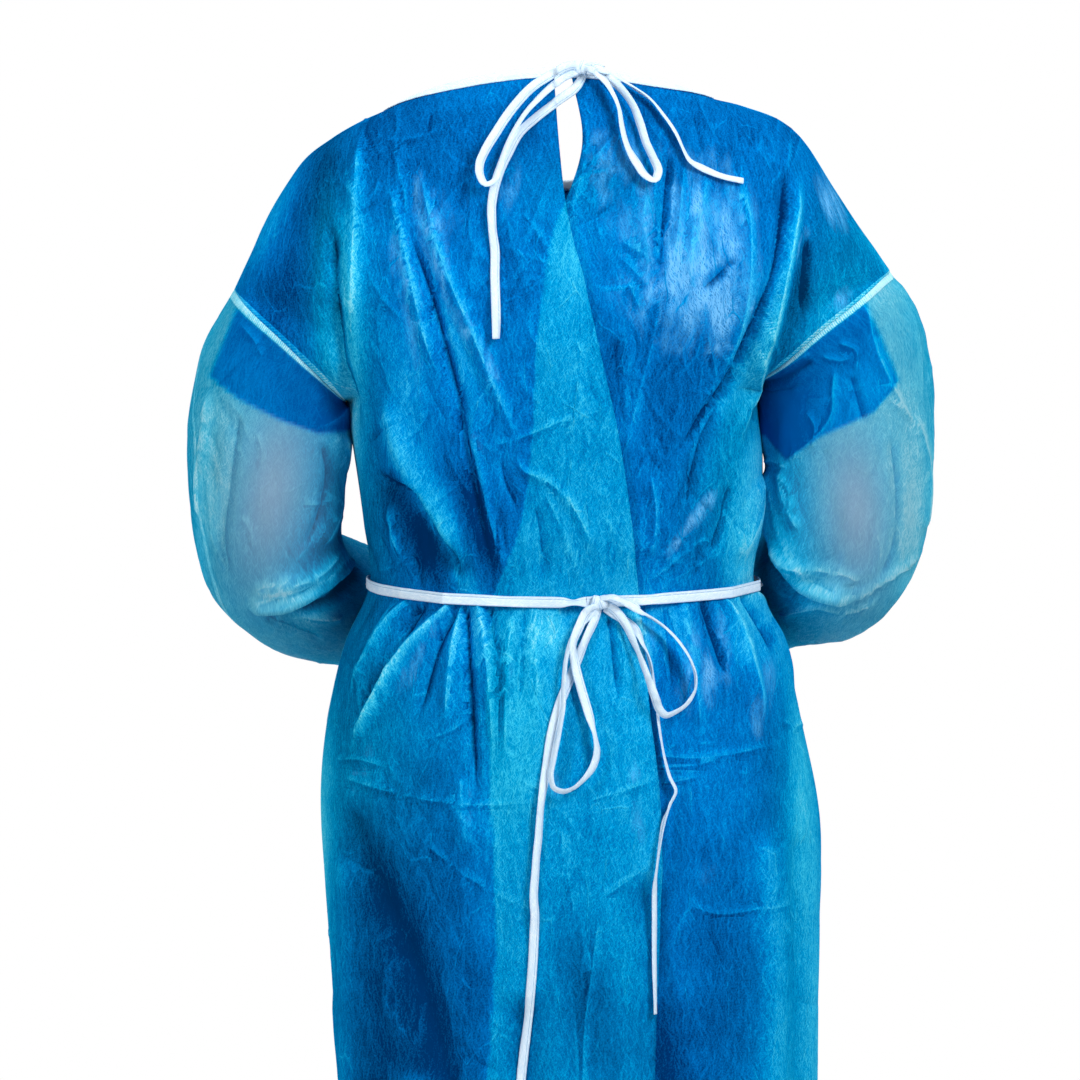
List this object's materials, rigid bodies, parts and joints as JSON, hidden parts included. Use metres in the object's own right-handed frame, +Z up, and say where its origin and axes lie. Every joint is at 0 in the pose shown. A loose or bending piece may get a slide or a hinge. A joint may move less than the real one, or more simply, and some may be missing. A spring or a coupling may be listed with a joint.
{
  "type": "isolation gown",
  "caption": "Long-sleeved disposable gown of thin nonwoven cloth, lapped at the back and tied at neck and waist with tape bows, in its worn form.",
  "frame": {"origin": "midway between the two shoulder seams at the neck, where the wearer's shoulders carry the gown", "axes": "+Z up along the gown's length, -Y out of its back where it is tied, +X towards the wearer's right"},
  "size_m": [0.6182, 0.4462, 1.1694],
  "materials": {
    "cloth": "thin translucent spunbond nonwoven with a slight sheen",
    "sleeve": "the same nonwoven, paler where it is a single layer over air",
    "tape": "white nonwoven tape, folded and stitched"
  },
  "bodies": {
    "root": {"back_left": "cloth", "back_right": "cloth", "front": "cloth", "sleeve_left": "sleeve", "sleeve_right": "sleeve", "neck_binding": "tape", "neck_knot": "tape", "waist_belt": "tape", "waist_knot": "tape", "neck_loop_left": "tape", "neck_loop_right": "tape", "neck_tail_left": "tape", "neck_tail_right": "tape", "waist_loop_left": "tape", "waist_loop_right": "tape", "waist_tail_left": "tape", "waist_tail_right": "tape"}
  },
  "joints": []
}
